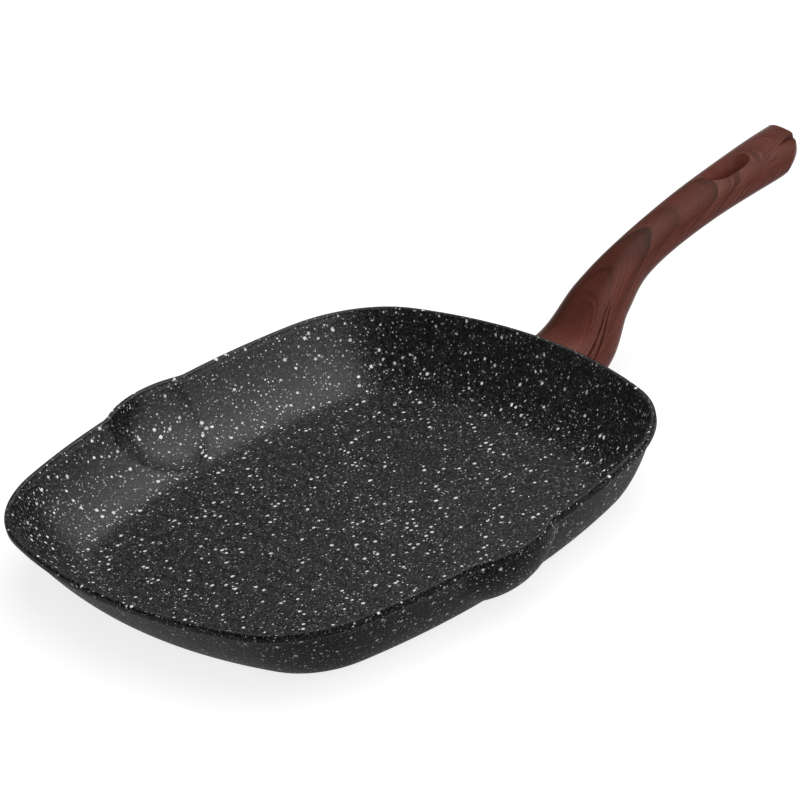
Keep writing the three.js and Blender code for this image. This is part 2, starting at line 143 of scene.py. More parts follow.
overhead_panel("wide_panel", height=1600, along=(-4000, 2600), across=(-300, 6400), power=84)
overhead_panel("middle_panel", height=1500, along=(-2900, 1600), across=(-260, 3450), power=38)
overhead_panel("bright_panel", height=1400, along=(-850, 950), across=(-250, 950), power=5.5)

PAN_HEIGHT = 37.5
CAMERA_AZIMUTH = math.radians(-35.19)
CAMERA_ELEVATION = math.radians(27.36)
CAMERA_ROLL = math.radians(-12.64)
CAMERA_DISTANCE = 2855.36
CAMERA_ASIDE = 34.51
CAMERA_RAISED = 30.17
back = Vector(
    (
        math.sin(CAMERA_AZIMUTH) * math.cos(CAMERA_ELEVATION),
        -math.cos(CAMERA_AZIMUTH) * math.cos(CAMERA_ELEVATION),
        math.sin(CAMERA_ELEVATION),
    )
)
level = Vector((math.cos(CAMERA_AZIMUTH), math.sin(CAMERA_AZIMUTH), 0))
upright = back.cross(level)
right = level * math.cos(CAMERA_ROLL) + upright * math.sin(CAMERA_ROLL)
up = upright * math.cos(CAMERA_ROLL) - level * math.sin(CAMERA_ROLL)
lens = bpy.data.cameras.new("camera")
lens.sensor_width = 36
lens.lens = 270
lens.clip_start, lens.clip_end = 0.05, 60
camera = bpy.data.objects.new("camera", lens)
place = right * CAMERA_ASIDE + up * CAMERA_RAISED + back * CAMERA_DISTANCE + Vector((0, 0, PAN_HEIGHT))
turned = Matrix((right, up, back)).transposed().to_4x4()
camera.matrix_world = Matrix.Translation(place * MM) @ turned
scene.collection.objects.link(camera)
scene.camera = camera

# Pan body
# One aluminium casting with a flared, bow-sided wall, two scooped spouts, floor ribs and a lug for the
# handle, sprayed all over with a satin non-stick coat that carries pale stone-like specks.
PAN_HALF_SIDE = 140
SIDE_BOW_RADIUS = 315
CORNER_RADIUS = 64
RIM_THICKNESS = 3
RIM_ROUND = 1.2
LIP_HEIGHT = 3.8
LIP_STEP = 0.5
LIP_CURVE = ((0.05, 0.5), (0.25, 0.12), (LIP_STEP, 0))
TUCK_HEIGHT, TUCK_SHARE = 9, 0.6
RIM_LEAN = math.radians(25)
RIM_PULL = 14.3
BASE_INSET, BASE_PULL = 32, 14
FLOOR_INSET, FLOOR_PULL = 39, 19
FLOOR_THICKNESS = 5
FLAT_FLOOR_RADIUS = 99.5
SPOUT_RADIUS = 38.7
SPOUT_FROM_CENTRE = 105
SPOUT_FORWARD = 3
SPOUT_DEPTH = PAN_HEIGHT - FLOOR_THICKNESS - 0.4
SPOUT_WALL = 3.2
SPOUT_SOFTNESS = 1.7
SCOOP_FROM, SCOOP_BLEND = -19, 22
SCOOP_LEAST, SCOOP_SLACK = 0.5, 0.15
DISC_SEAT_RADIUS = 90.3
DISC_SEAT_DEPTH = 1.3
SEAT_EDGE_WIDTH, SEAT_EDGE_DEPTH = 0.5, 0.35
HUB = 1

side_centre = PAN_HALF_SIDE - SIDE_BOW_RADIUS
arc_gap = SIDE_BOW_RADIUS - CORNER_RADIUS
corner_centre = (side_centre + math.sqrt(2 * arc_gap**2 - side_centre**2)) / 2
half_turn = math.atan2(corner_centre, corner_centre - side_centre)

# Angles round the pan, closer together at the spouts
fine = np.radians(np.arange(-17, 17, 0.3))
coarse = np.radians(np.linspace(17, 163, 117)[:-1])
turns = np.concatenate([np.pi / 2 + fine, np.pi / 2 + coarse, 1.5 * np.pi + fine, 1.5 * np.pi + coarse])


def outline_reach(inset):
    """Distance from the middle to the pan's outline, drawn in by an inset, at every angle."""
    turn = np.abs((turns + np.pi / 4) % (np.pi / 2) - np.pi / 4)
    side_radius, corner_radius = SIDE_BOW_RADIUS - inset, CORNER_RADIUS - inset
    seam = math.atan2(side_radius * math.sin(half_turn), side_centre + side_radius * math.cos(half_turn))
    along_side = side_centre * np.cos(turn) + np.sqrt(side_radius**2 - (side_centre * np.sin(turn)) ** 2)
    off_corner = corner_radius**2 - (corner_centre * (np.sin(turn) - np.cos(turn))) ** 2
    along_corner = corner_centre * (np.cos(turn) + np.sin(turn)) + np.sqrt(np.maximum(off_corner, 0))
    return np.where(turn < seam, along_side, along_corner)


def circle_reach(middle_y, radius):
    """Distance from the pan's middle to the far side of a spout's circle, at every angle."""
    middle = np.array((-SPOUT_FORWARD, middle_y))
    along = middle[0] * np.cos(turns) + middle[1] * np.sin(turns)
    chord = radius**2 - (middle @ middle - along**2)
    return np.where((chord > 0) & (along > 0), along + np.sqrt(np.maximum(chord, 0)), 0)


def pan_ring(inset, height, spout_radius, shallow=None):
    """The pan's outline at one height, run out over the two spouts where they reach further.

    A spout's side towards the handle can be shallower than its bowl, with a radius and centre of its own.
    """
    reach = outline_reach(inset)
    soft = min(SPOUT_SOFTNESS, 0.12 * spout_radius + 0.01)
    for spout_side in (1, -1):
        spout = circle_reach(spout_side * SPOUT_FROM_CENTRE, spout_radius)
        if shallow:
            share = np.clip((spout * np.cos(turns) - SCOOP_FROM) / SCOOP_BLEND, 0, 1)
            share = share * share * (3 - 2 * share)
            spout = spout * (1 - share) + circle_reach(spout_side * shallow[1], shallow[0]) * share
        share = np.clip(0.5 + 0.5 * (reach - spout) / soft, 0, 1)
        reach = spout * (1 - share) + reach * share + soft * share * (1 - share)
    return np.column_stack([reach * np.cos(turns), reach * np.sin(turns), np.full(len(turns), height)])


def round_ring(radius, height):
    """A circle round the pan's middle."""
    return np.column_stack([radius * np.cos(turns), radius * np.sin(turns), np.full(len(turns), height)])


def wall_curve(rim_inset, foot_inset, foot_pull, foot_height, steps):
    """A wall face from its foot to the rim, as insets and heights."""
    ends = np.array(
        [
            (foot_inset, foot_height),
            (foot_inset - foot_pull, foot_height),
            (rim_inset + RIM_PULL * math.sin(RIM_LEAN), PAN_HEIGHT - RIM_PULL * math.cos(RIM_LEAN)),
            (rim_inset, PAN_HEIGHT),
        ]
    )
    t = np.linspace(0, 1, steps)[:, None]
    lower = (1 - t) ** 3 * ends[0] + 3 * (1 - t) ** 2 * t * ends[1]
    return lower + 3 * (1 - t) * t**2 * ends[2] + t**3 * ends[3]


def bowl_radius(height, grown):
    """Radius of the spout's bowl at a height."""
    down = (PAN_HEIGHT - height) / (SPOUT_DEPTH + grown)
    return (SPOUT_RADIUS + grown) * math.sqrt(max(0, 1 - down**2))


def shallow_side(inset, height):
    """Radius and centre of the spout's shallow side at a height, where its back leans as the wall does."""
    bowl = bowl_radius(height, 0)
    wall_line = PAN_HALF_SIDE - inset
    rim_line = PAN_HALF_SIDE - RIM_THICKNESS
    rim_reach = SPOUT_FROM_CENTRE + SPOUT_RADIUS - rim_line
    rim_chord = math.sqrt(SPOUT_RADIUS**2 - (rim_line - SPOUT_FROM_CENTRE) ** 2)
    half_chord = min(rim_chord, math.sqrt(max(0.0, bowl**2 - (wall_line - SPOUT_FROM_CENTRE) ** 2)))
    reach = SPOUT_FROM_CENTRE + bowl - wall_line
    if half_chord == 0 or reach < SCOOP_LEAST:
        return bowl, SPOUT_FROM_CENTRE
    reach = min(reach, rim_reach + SCOOP_SLACK * (reach - rim_reach))
    radius = (half_chord**2 + reach**2) / (2 * reach)
    return radius, wall_line + reach - radius


# From the middle of the floor up the inner wall, over the rim, down the outer wall and into the disc's seat
rings = [round_ring(r, FLOOR_THICKNESS) for r in (HUB, FLAT_FLOOR_RADIUS)]
for inset, height in wall_curve(RIM_THICKNESS, FLOOR_INSET, FLOOR_PULL, FLOOR_THICKNESS, 52):
    if height < PAN_HEIGHT - RIM_ROUND - 0.4:
        rings.append(pan_ring(inset, height, bowl_radius(height, 0), shallow_side(inset, height)))
edge_foot = PAN_HEIGHT - RIM_ROUND
for angle in np.radians(np.linspace(0, 90, 6)):
    inset = RIM_THICKNESS - RIM_ROUND + RIM_ROUND * math.cos(angle)
    height = edge_foot + RIM_ROUND * math.sin(angle)
    rings.append(pan_ring(inset, height, SPOUT_RADIUS + RIM_THICKNESS - inset))
for angle in np.radians(np.linspace(90, 180, 6)):
    inset = RIM_ROUND + RIM_ROUND * math.cos(angle)
    height = edge_foot + RIM_ROUND * math.sin(angle)
    rings.append(pan_ring(inset, height, SPOUT_RADIUS + SPOUT_WALL - inset))
lip_foot = PAN_HEIGHT - LIP_HEIGHT
for inset, raised in LIP_CURVE:
    rings.append(pan_ring(inset, lip_foot + raised, SPOUT_RADIUS + SPOUT_WALL - inset))
for inset, height in wall_curve(0, BASE_INSET, BASE_PULL, 0, 44)[::-1]:
    if height < lip_foot - 0.3:
        tuck = LIP_STEP * np.clip(1 - (lip_foot - height) / TUCK_HEIGHT, 0, 1) ** 2
        rings.append(pan_ring(inset - tuck * TUCK_SHARE, height, bowl_radius(height, SPOUT_WALL)))
rings += [round_ring(DISC_SEAT_RADIUS + SEAT_EDGE_WIDTH, 0), round_ring(DISC_SEAT_RADIUS, SEAT_EDGE_DEPTH)]
rings += [round_ring(DISC_SEAT_RADIUS, DISC_SEAT_DEPTH), round_ring(HUB, DISC_SEAT_DEPTH)]


def skin(rings):
    """Faces over a row of closed rings, with a fan over each end."""
    turn, count = len(rings[0]), len(rings)
    points = np.concatenate(rings)
    faces = []
    for i in range(count - 1):
        here, there = i * turn, (i + 1) * turn
        for k in range(turn):
            n = (k + 1) % turn
            faces.append((here + k, here + n, there + n, there + k))
    hubs = np.array([rings[0].mean(axis=0), rings[-1].mean(axis=0)])
    last = (count - 1) * turn
    for k in range(turn):
        n = (k + 1) % turn
        faces.append((count * turn, n, k))
        faces.append((count * turn + 1, last + k, last + n))
    return np.concatenate([points, hubs]), faces


def joined(skins):
    """Several closed skins as one list of points and faces."""
    points, faces, start = [], [], 0
    for some_points, some_faces in skins:
        points.append(some_points)
        faces += [tuple(start + i for i in f) for f in some_faces]
        start += len(some_points)
    return np.concatenate(points), faces


def facing_out(points, faces):
    """The same skin with its faces turned outwards."""
    p = np.asarray(points)
    volume = 0
    for f in faces:
        for i in range(1, len(f) - 1):
            volume += np.dot(p[f[0]], np.cross(p[f[i]], p[f[i + 1]]))
    return (points, faces) if volume > 0 else (points, [tuple(reversed(f)) for f in faces])


def cut_or_join(piece, skins, operation):
    """Joins closed skins to a piece or cuts them out of it, and keeps the result as the piece's mesh."""
    tool = new_piece(piece.name + "_tool", *joined([facing_out(*s) for s in skins]), piece.data.materials[0])
    step = piece.modifiers.new("step", "BOOLEAN")
    step.operation, step.solver, step.object = operation, "EXACT", tool
    ready = piece.evaluated_get(bpy.context.evaluated_depsgraph_get())
    mesh = bpy.data.meshes.new_from_object(ready)
    piece.modifiers.clear()
    piece.data = mesh
    bpy.data.objects.remove(tool)


def smoothed(piece, sharp_deg):
    """Smooth shading that keeps edges sharper than an angle."""
    piece.data.shade_smooth()
    piece.data.set_sharp_from_angle(angle=math.radians(sharp_deg))


# Floor ribs: soft-topped bars parallel to the spouts' axis that end on a bowed line
RIB_PITCH = 9.7
RIB_COUNT = 21
RIB_HALF_LENGTH = 86
RIB_HALF_HEIGHT, RIB_HALF_WIDTH, RIB_FOOT, RIB_ROOT = 0.09, 3, 3.2, 0.8
RIB_SECTION = [(RIB_FOOT, -RIB_ROOT), (RIB_FOOT, -0.02)]
for across in (2.8, 2.3, 1.8, 1.3, 0.8, 0.3):
    swell = RIB_HALF_HEIGHT * math.cos(math.pi * across / RIB_HALF_WIDTH)
    RIB_SECTION.append((across, RIB_HALF_HEIGHT + swell))


def long_ring(half_width, half_length, height, steps=8):
    """A ring with straight sides along Y and round ends."""
    angle = np.linspace(0, np.pi, steps + 1)
    end = half_width * np.column_stack([np.cos(angle), np.sin(angle)])
    plan = np.concatenate([end + (0, half_length), -end - (0, half_length)])
    return np.column_stack([plan, np.full(len(plan), height)])


ribs = []
for i in range(RIB_COUNT):
    x = (i - (RIB_COUNT - 1) / 2) * RIB_PITCH
    bow = SIDE_BOW_RADIUS - math.sqrt(SIDE_BOW_RADIUS**2 - x**2)
    bar = [long_ring(w, RIB_HALF_LENGTH - bow, FLOOR_THICKNESS + h) + (x, 0, 0) for w, h in RIB_SECTION]
    ribs.append(skin(bar))

# Studs of the casting that fill the holes of the disc underneath, with a radius and height at each step
STUD_RINGS = ((32, 8), (64, 16))
STUD_SECTION = ((3, 1.7), (3, 0.35), (2.7, 0.06), (2.1, 0.02))


def round_plan(steps):
    """A circle of radius one."""
    a = np.linspace(0, 2 * np.pi, steps + 1)[:-1]
    return np.column_stack([np.cos(a), np.sin(a), np.zeros(steps)])


studs = []
for ring_radius, count in STUD_RINGS:
    for i in range(count):
        angle = 2 * math.pi * i / count
        middle = np.array((ring_radius * math.cos(angle), ring_radius * math.sin(angle), 0))
        studs.append(skin([round_plan(24) * r + middle + (0, 0, z) for r, z in STUD_SECTION]))

# Lug inside the handle's socket, with the screw's hole
LUG_WIDTH, LUG_DEPTH, LUG_DROP, LUG_END = 24, 10, 16, 160
LUG_EDGE_RADIUS = 2.5
LUG_ROOT, LUG_ROOT_LEAN, LUG_BEVEL = 130.5, 0.6, 0.8
SCREW_X, SCREW_HOLE_RADIUS, SCREW_HOLE_FOOT, SCREW_HOLE_TOP = 148, 2.8, 10, 24.3


def lug_ring(x, grown=0.0):
    """The lug's round-cornered section at a distance out."""
    half_width, half_depth, radius = LUG_WIDTH / 2 + grown, LUG_DEPTH / 2 + grown, LUG_EDGE_RADIUS + grown
    ring = []
    for quarter, (sy, sz) in enumerate(((1, 1), (-1, 1), (-1, -1), (1, -1))):
        for a in np.radians(np.linspace(90 * quarter, 90 * quarter + 90, 6)):
            y = sy * (half_width - radius) + radius * math.cos(a)
            ring.append((x, y, PAN_HEIGHT - LUG_DROP + sz * (half_depth - radius) + radius * math.sin(a)))
    return np.array(ring)


lug_root = lug_ring(LUG_ROOT)
lug_root[:, 0] += LUG_ROOT_LEAN * (lug_root[:, 2] - PAN_HEIGHT + LUG_DROP)
lug = skin([lug_root, lug_ring(LUG_END - LUG_BEVEL), lug_ring(LUG_END, -LUG_BEVEL)])

coat, coat_tree = new_material("granite_coat")
outer_coat, outer_tree = new_material("granite_outer_coat")
pan = new_piece("pan_casting", *facing_out(*skin(rings)), coat)
cut_or_join(pan, ribs + studs + [lug], "UNION")
hole = round_plan(32) * SCREW_HOLE_RADIUS + (SCREW_X, 0, 0)
cut_or_join(pan, [skin([hole + (0, 0, z) for z in (SCREW_HOLE_FOOT, SCREW_HOLE_TOP)])], "DIFFERENCE")
smoothed(pan, sharp_deg=42)

# The outside and underside wear a duller coat with fewer specks
FACES_AWAY = 0.3
pan.data.materials.append(outer_coat)
for face in pan.data.polygons:
    middle, normal = face.center, face.normal
    outward = (middle.x * normal.x + middle.y * normal.y) / max(1e-6, math.hypot(middle.x, middle.y))
    face.material_index = int(outward > FACES_AWAY or normal.z < -FACES_AWAY)


def new_group(name, inputs, outputs):
    """A shader node group with named sockets, and what its input node gives."""
    group = bpy.data.node_groups.new(name, "ShaderNodeTree")
    for socket, kind in inputs.items():
        group.interface.new_socket(socket, in_out="INPUT", socket_type="NodeSocket" + kind)
    for socket, kind in outputs.items():
        group.interface.new_socket(socket, in_out="OUTPUT", socket_type="NodeSocket" + kind)
    return group, node(group, "NodeGroupInput").outputs


def use_group(tree, group, **inputs):
    """Places a node group in a tree and gives its outputs."""
    return node(tree, "ShaderNodeGroup", inputs, node_tree=group).outputs


def over(tree, under, mask, colour):
    """A colour laid over another through a mask."""
    return node(tree, "ShaderNodeMix", {0: mask, 6: under, 7: colour}, data_type="RGBA").outputs[2]


def noise(tree, place, scale, detail, roughness=0.5):
    """A cloudy pattern of values."""
    inputs = {"Vector": place, "Scale": scale, "Detail": detail, "Roughness": roughness}
    return node(tree, "ShaderNodeTexNoise", inputs).outputs["Fac"]


def surface(tree, inputs):
    """The shader of a material's surface."""
    face = node(tree, "ShaderNodeBsdfPrincipled", inputs)
    node(tree, "ShaderNodeOutputMaterial", {"Surface": face.outputs[0]})


# One size of speck: round grains in random places, some left out
speck_layer, given = new_group(
    "speck_layer",
    {"Place": "Vector", "Scale": "Float", "Size": "Float", "Share": "Float"},
    {"Mask": "Float", "Tone": "Float"},
)
cells = node(speck_layer, "ShaderNodeTexVoronoi", {"Vector": given["Place"], "Scale": given["Scale"]})
chance = node(speck_layer, "ShaderNodeSeparateColor", {"Color": cells.outputs["Color"]}).outputs
size = calc(speck_layer, "MULTIPLY", spread(speck_layer, chance["Red"], start=0.4), given["Size"])
spot = spread(speck_layer, cells.outputs["Distance"], size, calc(speck_layer, "MULTIPLY", size, 0.75))
there = calc(speck_layer, "LESS_THAN", chance["Green"], given["Share"])
mask = calc(speck_layer, "MULTIPLY", spot, there)
node(speck_layer, "NodeGroupOutput", {"Mask": mask, "Tone": chance["Blue"]})

# The speckled coat: a mottled near-black ground, and on it dust, grit and a few large flakes, each with the
# scale, size and share of its grains and its darkest and palest tone
SPECKS = (
    (1000.0, 0.38, 0.6, (0.01, 0.01, 0.01, 1), (0.2, 0.2, 0.195, 1)),
    (620.0, 0.31, 0.85, (0.1, 0.1, 0.1, 1), (1.0, 1.0, 0.98, 1)),
    (290.0, 0.33, 0.4, (0.6, 0.6, 0.59, 1), (1.0, 1.0, 0.98, 1)),
)
coat_outputs = {"Color": "Color", "Cloud": "Float", "Height": "Float"}
granite, given = new_group("granite", {"Share": "Float"}, coat_outputs)
place = node(granite, "ShaderNodeTexCoord").outputs["Object"]
wobble = {"Vector": place, "Scale": 900.0, "Detail": 1.0}
wobble = node(granite, "ShaderNodeTexNoise", wobble).outputs["Color"]
ragged = node(granite, "ShaderNodeVectorMath", {0: wobble, 1: (0.5, 0.5, 0.5)}, operation="SUBTRACT")
ragged = node(granite, "ShaderNodeVectorMath", {0: ragged.outputs[0], "Scale": 0.001}, operation="SCALE")
ragged = node(granite, "ShaderNodeVectorMath", {0: place, 1: ragged.outputs[0]}, operation="ADD").outputs[0]
mottle = spread(granite, noise(granite, place, 700.0, 2.0, 0.6), 0.44, 0.6)
colour = over(granite, (0.0005, 0.0005, 0.0005, 1), mottle, (0.024, 0.024, 0.025, 1))
for scale, size, share, darkest, palest in SPECKS:
    share = calc(granite, "MULTIPLY", given["Share"], share)
    grains = use_group(granite, speck_layer, Place=ragged, Scale=scale, Size=size, Share=share)
    colour = over(granite, colour, grains["Mask"], over(granite, darkest, grains["Tone"], palest))
height = calc(granite, "ADD", mottle, grains["Mask"])
cloud = noise(granite, place, 28.0, 3.0)
node(granite, "NodeGroupOutput", {"Color": colour, "Cloud": cloud, "Height": height})


def finish_coat(tree, share, smoothest, roughest, specular, texture):
    """A coat of speckled lacquer with its own share of specks, sheen and texture."""
    stone = use_group(tree, granite, Share=share)
    bump = node(tree, "ShaderNodeBump", {"Strength": texture, "Distance": 0.00008, "Height": stone["Height"]})
    lacquer = {
        "Base Color": stone["Color"],
        "Roughness": spread(tree, stone["Cloud"], start=smoothest, end=roughest),
        "Specular IOR Level": specular,
        "Normal": bump.outputs[0],
    }
    surface(tree, lacquer)


finish_coat(coat_tree, share=1.0, smoothest=0.26, roughest=0.34, specular=0.42, texture=0.75)
finish_coat(outer_tree, share=0.9, smoothest=0.5, roughest=0.6, specular=0.08, texture=0.2)

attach(pan, "root")
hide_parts("pan_body")

# Induction disc
# A thin disc of magnetic steel pressed into the underside, so that the pan works on induction hobs.
# The casting's studs fill its holes, and the base is turned flat, which leaves fine rings on the steel.
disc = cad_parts["induction_disc"]
steel, tree = new_material("turned_steel")
place = node(tree, "ShaderNodeTexCoord").outputs["Object"]
part = node(tree, "ShaderNodeSeparateXYZ", {"Vector": place}).outputs
flat = node(tree, "ShaderNodeCombineXYZ", {"X": part["X"], "Y": part["Y"]})
radius = node(tree, "ShaderNodeVectorMath", {0: flat.outputs[0]}, operation="LENGTH").outputs["Value"]
grooves = {"W": radius, "Scale": 1400.0, "Detail": 3.0}
grooves = node(tree, "ShaderNodeTexNoise", grooves, noise_dimensions="1D").outputs["Fac"]
bump = node(tree, "ShaderNodeBump", {"Strength": 0.35, "Distance": 0.0001, "Height": grooves})
bright_steel = {
    "Base Color": over(tree, (0.34, 0.34, 0.335, 1), grooves, (0.56, 0.56, 0.55, 1)),
    "Metallic": 1.0,
    "Roughness": spread(tree, noise(tree, place, 22.0, 4.0), start=0.24, end=0.44),
    "Normal": bump.outputs[0],
}
surface(tree, bright_steel)
disc.data.materials.clear()
disc.data.materials.append(steel)

# Handle
# A moulded thermoset grip with a soft-touch wood-effect finish, cored to slide over the pan's lug. It
# rises out of the wall, waists in and widens to a tail with a hanging slot and carved cracks.
HANDLE_STATIONS = np.array(
    [
        (-34, -19.5, 46.8, 23.8),
        (14, -17.4, 46.8, 23.8),
        (40, 0.8, 33.7, 22),
        (66, 12.8, 24.8, 18.5),
        (112, 20.6, 28, 17.2),
        (176.5, 24, 37, 17.57),
    ]
)
SECTION_POWER = 2.45
TAIL_SWEEP, TAIL_LIFT, TAIL_DROP = 25, 8.5, 1.2
TAIL_SKEW, TAIL_CORNER_RADIUS, TAIL_OVERRUN = math.radians(9), 20, 4.5
HANDLE_RINGS, HANDLE_TURN = 150, 88
FIT_GAP = 0.3


def station(share):
    """Reach, rise, width and depth on a smooth line through the stations."""
    at = min(share, 1) * (len(HANDLE_STATIONS) - 1)
    i = min(int(at), len(HANDLE_STATIONS) - 2)
    w = at - i
    p0, p1 = HANDLE_STATIONS[max(i - 1, 0)], HANDLE_STATIONS[i]
    p2, p3 = HANDLE_STATIONS[i + 1], HANDLE_STATIONS[min(i + 2, len(HANDLE_STATIONS) - 1)]
    v0, v1 = (p2 - p0) / 2, (p3 - p1) / 2
    return (2 * p1 - 2 * p2 + v0 + v1) * w**3 + (3 * p2 - 3 * p1 - 2 * v0 - v1) * w**2 + v0 * w + p1


def handle_ring(share):
    """One section of the handle, square to its line."""
    reach, rise, width, depth = station(share)
    step = station(min(share + 1e-4, 1))[:2] - station(max(share - 1e-4, 0))[:2]
    along = step / np.linalg.norm(step)
    swept = max(0.0, 1 - (HANDLE_STATIONS[-1][0] - reach) / TAIL_SWEEP) ** 2
    a = np.linspace(0, 2 * np.pi, HANDLE_TURN + 1)[:-1]
    across = width / 2 * np.sign(np.cos(a)) * np.abs(np.cos(a)) ** (2 / SECTION_POWER)
    up = np.sign(np.sin(a)) * np.abs(np.sin(a)) ** (2 / SECTION_POWER)
    up = up * (depth / 2 - swept * np.where(np.sin(a) > 0, TAIL_DROP, TAIL_LIFT))
    return np.column_stack([PAN_HALF_SIDE + reach - up * along[1], across, PAN_HEIGHT + rise + up * along[0]])


# The last ring lies past the tail, which leaves enough to cut off
wood, wood_tree = new_material("wood_effect")
handle_rings = [handle_ring(s) for s in np.sin(np.pi / 2 * np.linspace(0, 1, HANDLE_RINGS))]
handle_rings.append(2 * handle_ring(1) - handle_ring(0.995) + (TAIL_OVERRUN, 0, 0))
grip_skin = facing_out(*skin(handle_rings))
grip = new_piece("handle_grip", *grip_skin, wood)
grip_faces = BVHTree.FromPolygons([tuple(p) for p in grip_skin[0]], grip_skin[1])

# The tail is cut off a little askew, with one corner well rounded and its foot drawn in
TAIL_END_X, TAIL_HALF_WIDTH = PAN_HALF_SIDE + HANDLE_STATIONS[-1][0], HANDLE_STATIONS[-1][2] / 2
KEPT_START, KEPT_HALF_WIDTH = 100, 40
FOOT_DRAWN_IN, FOOT_Z, FOOT_HEIGHT = 24, 50, 15
corner_y = TAIL_CORNER_RADIUS - TAIL_HALF_WIDTH
corner_x = TAIL_END_X + corner_y * math.tan(TAIL_SKEW) - TAIL_CORNER_RADIUS / math.cos(TAIL_SKEW)
a = np.linspace(-np.pi / 2, -TAIL_SKEW, 33)
corner = TAIL_CORNER_RADIUS * np.column_stack([np.cos(a), np.sin(a)]) + (corner_x, corner_y)
far_corner = (TAIL_END_X + KEPT_HALF_WIDTH * math.tan(TAIL_SKEW), KEPT_HALF_WIDTH)
end_line = np.concatenate([corner, [far_corner]])
end_rings = []
for z in (-20, 52, 54, 56, 58, 60, 62, 64, 100):
    drawn_in = FOOT_DRAWN_IN * np.clip(1 - (z - FOOT_Z) / FOOT_HEIGHT, 0, 1) ** 2
    near_side, far_side = [(KEPT_START, -KEPT_HALF_WIDTH)], [(KEPT_START, KEPT_HALF_WIDTH)]
    kept = np.concatenate([near_side, end_line - (drawn_in, 0), far_side])
    end_rings.append(np.column_stack([kept, np.full(len(kept), z)]))
cut_or_join(grip, [skin(end_rings)], "INTERSECT")

# Socket that fits the wall and the lug
wall = wall_curve(0, BASE_INSET, BASE_PULL, 0, 40)
socket = [pan_ring(inset - FIT_GAP, height, 0) for inset, height in wall]
socket.append(pan_ring(-FIT_GAP, PAN_HEIGHT + 2, 0))
cut_or_join(grip, [skin(socket)], "DIFFERENCE")
cut_or_join(grip, [skin([lug_ring(100, FIT_GAP), lug_ring(LUG_END + FIT_GAP, FIT_GAP)])], "DIFFERENCE")

# Screw hole and the recess that its head and washers sit in
WASHER_SEAT, RECESS_RADIUS, RECESS_FOOT, BORE_TOP = 13.2, 5.3, -3, 17.5
recess = [round_plan(48) * RECESS_RADIUS + (SCREW_X, 0, z) for z in (RECESS_FOOT, WASHER_SEAT)]
bore = [round_plan(48) * SCREW_HOLE_RADIUS + (SCREW_X, 0, z) for z in (WASHER_SEAT, BORE_TOP)]
cut_or_join(grip, [skin(recess + bore)], "DIFFERENCE")

# Hanging slot, waisted at half depth and flared to both faces
SLOT_X, SLOT_LENGTH, SLOT_WIDTH, SLOT_FLARE = 273.5, 17.5, 8, 4.5
BESIDE_SLOT = 7
SLOT_FIRST, SLOT_LAST = station(0.83), station(0.93)


def grip_hit(x, y, side):
    """Where the handle's top (1) or underside (-1) lies at a spot, and the way it faces."""
    return grip_faces.ray_cast(Vector((x, y, 200 * side)), Vector((0, 0, -side)))[:2]


slot_top = grip_hit(SLOT_X, BESIDE_SLOT, 1)[0].z
slot_under = grip_hit(SLOT_X, BESIDE_SLOT, -1)[0].z
slope = (SLOT_LAST[1] - SLOT_FIRST[1]) / (SLOT_LAST[0] - SLOT_FIRST[0])
slot_rings = []
for s in np.linspace(-1.3, 1.3, 27):
    ring = long_ring(SLOT_WIDTH / 2 + SLOT_FLARE * s**2, (SLOT_LENGTH - SLOT_WIDTH) / 2, 0, 20)[:, [1, 0, 2]]
    ring[:, 2] += (slot_top + slot_under) / 2 + s * (slot_top - slot_under) / 2 + slope * ring[:, 0]
    slot_rings.append(ring + (SLOT_X, 0, 0))
cut_or_join(grip, [skin(slot_rings)], "DIFFERENCE")

# Carved step at the tail: a split whose outer side has dropped, deepest at the end face
TAIL_TOP = PAN_HEIGHT + HANDLE_STATIONS[-1][1] + HANDLE_STATIONS[-1][3] / 2
STEP_LENGTH, STEP_WIDTH, STEP_DEPTH, STEP_RISE = 24, 9.5, 4.2, 0.75
STEP_ASIDE, STEP_SLANT, STEP_WAVER = -11, 5.7, 0.3
step_rings = []
for s in np.linspace(0.1, 1.25, 12):
    x = TAIL_END_X + (s - 1) * STEP_LENGTH
    inner = STEP_ASIDE + STEP_SLANT * s + STEP_WAVER * math.sin(11 * s)
    outer = inner - STEP_WIDTH
    low, high = TAIL_TOP - STEP_DEPTH * s, TAIL_TOP + 2
    section = [(x, inner, high), (x, inner, low), (x, outer, low + STEP_RISE * s), (x, outer, high)]
    step_rings.append(np.array(section))
cut_or_join(grip, [skin(step_rings)], "DIFFERENCE")

# Three fine cracks beside the step and two wider ones at the root
CRACK_LIFT, CRACK_FLARE, CRACK_LEAST = 1.0, 1.6, 0.12
TAIL_CRACKS = ((0.0, 0.0), (2.3, 6.0), (-2.6, 3.0))
TAIL_CRACKS_FROM, TAIL_CRACKS_TO = 283, 300
TAIL_CRACKS_ASIDE, TAIL_CRACKS_SLANT, TAIL_CRACKS_WAVER = -13.2, 0.2, 0.35
ROOT_CRACKS = (
    [(177, -13.4), (170, -15), (163, -16.9), (156, -18.8), (149, -20.6)],
    [(175, -14.7), (169, -16.8), (163, -19), (157, -21), (151, -22.6)],
)


def crack(path, width, depth, opening=1.0):
    """A wedge to cut a crack along a path of places on the handle's top.

    It is widest and deepest part of the way along; an opening under one leaves it wide at its end.
    """
    wedge = []
    path = np.array(path, float)
    last = len(path) - 1
    for i, (x, y) in enumerate(path):
        hit, normal = grip_hit(x, y, 1)
        step = path[min(i + 1, last)] - path[max(i - 1, 0)]
        ahead = Vector((step[0], step[1], 0)).normalized()
        aside = normal.cross(ahead).normalized()
        taper = max(CRACK_LEAST, math.sin(math.pi * (0.08 + 0.92 * min(1, i / last * opening))))
        half = aside * (width * taper / 2) * CRACK_FLARE
        lifted = hit + normal * CRACK_LIFT
        wedge.append(np.array([lifted + half, hit - normal * depth * taper, lifted - half]))
    return skin(wedge)


